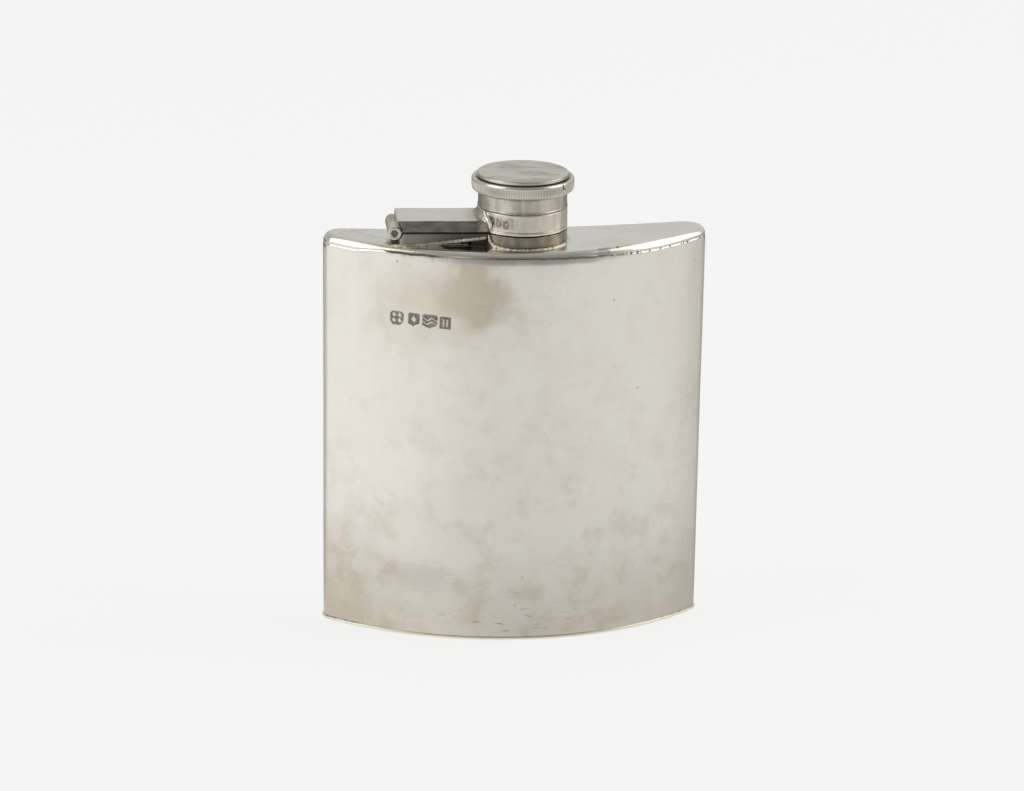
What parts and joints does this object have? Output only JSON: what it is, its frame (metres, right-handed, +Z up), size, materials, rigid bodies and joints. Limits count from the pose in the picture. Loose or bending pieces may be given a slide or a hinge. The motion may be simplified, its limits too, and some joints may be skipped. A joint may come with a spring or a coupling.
{
  "type": "hip flask",
  "caption": "Curved silver hip flask with rounded ends, flat shoulder, short neck and a captive bayonet cap on a hinged arm.",
  "frame": {"origin": "middle of the footprint, on the surface that the flask stands on", "axes": "+X across the width, away from the hinge of the cap; +Y to the hollow back; +Z up, along the neck"},
  "size_m": [0.094, 0.0292, 0.1145],
  "materials": {
    "silver_wall": "satin",
    "silver_bright": "gloss",
    "solder": "satin",
    "cork": "matte"
  },
  "bodies": {
    "flask": {"front_panel": "silver_wall", "back_panel": "silver_wall", "shoulder_plate": "silver_bright", "base_plate": "silver_wall", "neck_tube": "silver_wall", "neck_collar": "silver_wall", "bayonet_lugs": "silver_wall", "neck_solder": "solder", "hinge_block": "silver_wall", "block_solder": "solder", "block_knuckle": "silver_wall", "hinge_pin": "silver_wall"},
    "arm": {"hinge_arm": "silver_bright", "arm_floor": "silver_wall", "front_knuckle": "silver_bright", "rear_knuckle": "silver_bright", "swivel_ring": "silver_bright", "arm_solder": "solder"},
    "cap": {"cap_disc": "silver_bright", "milled_rim": "silver_bright", "cap_sleeve": "silver_wall", "bayonet_sleeve": "silver_wall", "retaining_ring": "silver_wall", "cork_backing": "silver_wall", "cork_seal": "cork"}
  },
  "joints": [
    {"name": "arm_hinge", "type": "hinge", "parent": "flask", "child": "arm", "pos_m": [-0.03083, 0.0018, 0.10065], "axis": [-0.067, -0.9978, 0], "range_deg": [0, 130]},
    {"name": "cap_turn", "type": "hinge", "parent": "arm", "child": "cap", "pos_m": [0.0004, -0.0003, 0.1075], "axis": [0, 0, -1], "range_deg": [0, 80]}
  ]
}
